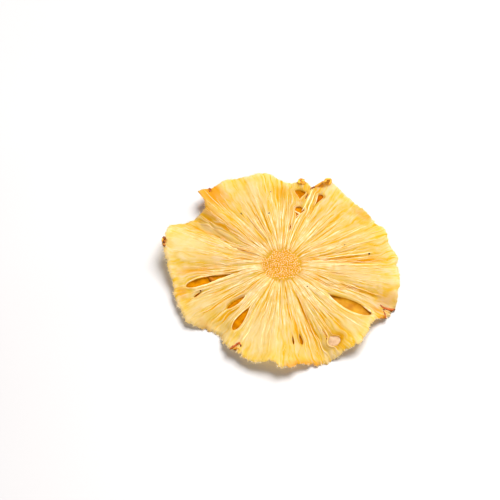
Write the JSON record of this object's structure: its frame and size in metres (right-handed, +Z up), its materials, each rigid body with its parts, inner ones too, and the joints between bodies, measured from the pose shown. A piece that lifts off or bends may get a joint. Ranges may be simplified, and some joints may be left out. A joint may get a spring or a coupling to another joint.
{
  "type": "dried pineapple slice",
  "caption": "Dried pineapple slice: a thin wavy round of golden fibrous flesh round a tough core, with slit-like seed holes between the fibres and a frayed rim.",
  "frame": {"origin": "middle of the bounding box's base, on the table that the slice lies on", "axes": "+Z up out of the slice's upper face, through its thickness; +X to the right and +Y to the back as the picture shows it"},
  "size_m": [0.083, 0.0788, 0.0092],
  "materials": {
    "dried_flesh": "matte, slightly translucent dried fruit flesh"
  },
  "bodies": {
    "root": {"pineapple_slice": "dried_flesh"}
  },
  "joints": []
}
